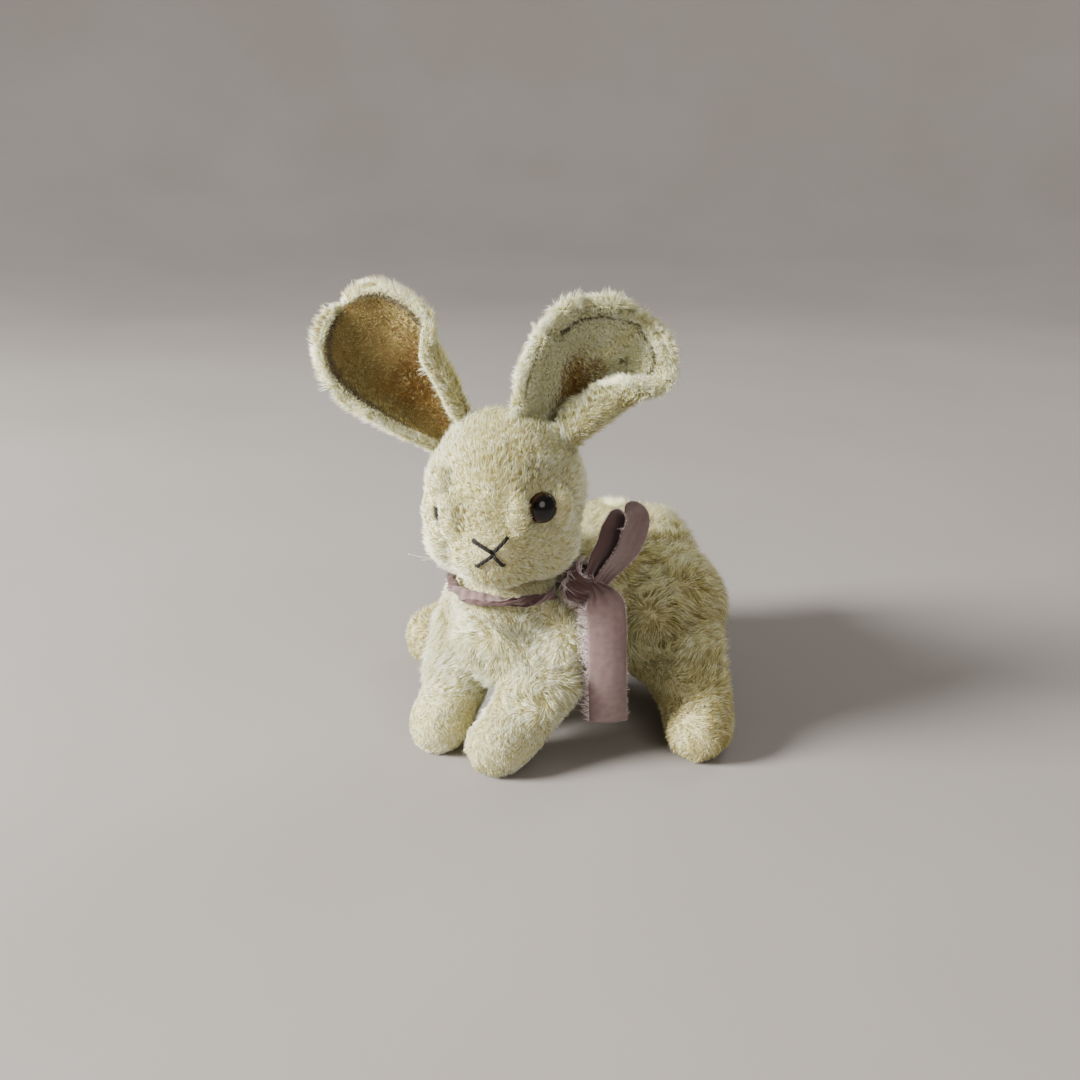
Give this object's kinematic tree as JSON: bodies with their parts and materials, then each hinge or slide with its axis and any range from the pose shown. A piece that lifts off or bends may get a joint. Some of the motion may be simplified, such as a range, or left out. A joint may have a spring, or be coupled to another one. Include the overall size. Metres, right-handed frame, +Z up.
{
  "type": "stuffed toy rabbit",
  "caption": "Small vintage-style mohair rabbit standing on all fours, with large cupped ears, glass eyes, a stitched nose, a swivel head and a ribbon bow at its neck.",
  "frame": {"origin": "middle of the toy's bounding box at the height of its flat soles", "axes": "+Z up, the body faces -Y, the rabbit's left side is +X"},
  "size_m": [0.1138, 0.1138, 0.1242],
  "materials": {
    "mohair": "ivory to straw mohair pile, slightly tousled and worn",
    "ear_plush": "short beige plush with an airbrushed grey rim",
    "wood_wool": "packed wood wool, not seen from outside",
    "cardboard": "pressed grey-brown board",
    "steel": "plain drawn wire and stamped sheet",
    "eye_glass": "opaque dark brown glass with a black pupil, polished",
    "floss": "black embroidery floss",
    "whisker": "clear white monofilament",
    "ribbon": "dusty mauve silk ribbon, frayed at its edges"
  },
  "bodies": {
    "body": {"body_side_left": "mohair", "body_side_right": "mohair", "belly_gusset": "mohair", "body_stuffing": "wood_wool", "tail_cover": "mohair", "tail_stuffing": "wood_wool", "body_disc": "cardboard", "body_washer": "steel", "neck_pin": "steel", "ribbon_neckband": "ribbon", "ribbon_knot": "ribbon", "ribbon_loop": "ribbon", "ribbon_tail_long": "ribbon", "ribbon_tail_short": "ribbon"},
    "head": {"head_side_left": "mohair", "head_side_right": "mohair", "head_gusset": "mohair", "head_stuffing": "wood_wool", "head_disc": "cardboard", "head_washer": "steel", "ear_back_left": "mohair", "ear_back_right": "mohair", "ear_lining_left": "ear_plush", "ear_lining_right": "ear_plush", "eye_left": "eye_glass", "eye_right": "eye_glass", "eye_shank_left": "steel", "eye_shank_right": "steel", "nose_stitches": "floss", "mouth_stitches": "floss", "whisker": "whisker"}
  },
  "joints": [
    {"name": "head_swivel", "type": "hinge", "parent": "body", "child": "head", "pos_m": [0.00055, -0.02785, 0.0494], "axis": [0, 0, 1], "range_deg": [-180, 35]}
  ]
}
